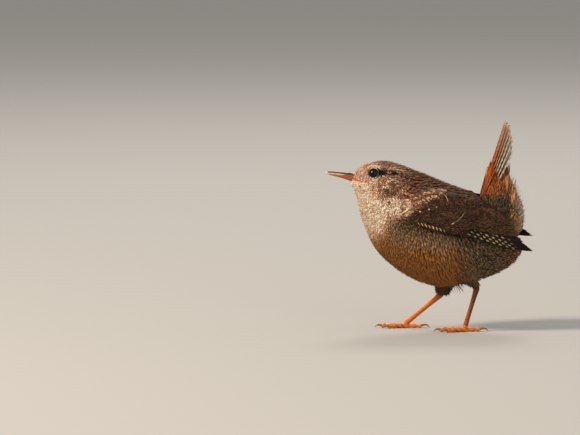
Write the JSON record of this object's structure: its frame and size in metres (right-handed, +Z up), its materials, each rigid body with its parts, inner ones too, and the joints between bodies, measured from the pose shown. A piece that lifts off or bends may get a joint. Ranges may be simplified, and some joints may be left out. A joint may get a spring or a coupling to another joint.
{
  "type": "wren",
  "caption": "Life-size model of a small plump wren standing alert on thin legs, wings folded and barred tail cocked upright",
  "frame": {"origin": "on the floor, under the middle of the box round the bird", "axes": "the bird faces -X, its left side is towards -Y, and +Z is up"},
  "size_m": [0.0824, 0.0402, 0.0829],
  "materials": {
    "plumage_head": "soft, streaked brown feathers with a pale line over the eye and a buff throat",
    "plumage_body": "soft feathers, rufous brown above, pinkish buff on the breast and cinnamon on the belly",
    "plumage_shank": "soft brown feathers",
    "wing_feathers": "dark brown vanes with buff and black checks",
    "tail_feathers": "rufous vanes with dark bars",
    "bill": "horn, slate above and orange yellow below",
    "eye": "wet and nearly black",
    "leg_skin": "scaled orange-brown skin",
    "claw": "translucent horn"
  },
  "bodies": {
    "root": {"bill_lower": "bill", "bill_upper": "bill", "claw_hind_left": "claw", "claw_hind_right": "claw", "claw_inner_left": "claw", "claw_inner_right": "claw", "claw_middle_left": "claw", "claw_middle_right": "claw", "claw_outer_left": "claw", "claw_outer_right": "claw", "eye_left": "eye", "eye_right": "eye", "foot_left": "leg_skin", "foot_right": "leg_skin", "head": "plumage_head", "neck": "plumage_head", "shank_left": "plumage_shank", "shank_right": "plumage_shank", "tail": "tail_feathers", "tarsus_left": "leg_skin", "tarsus_right": "leg_skin", "torso": "plumage_body", "wing_left": "wing_feathers", "wing_right": "wing_feathers"}
  },
  "joints": []
}
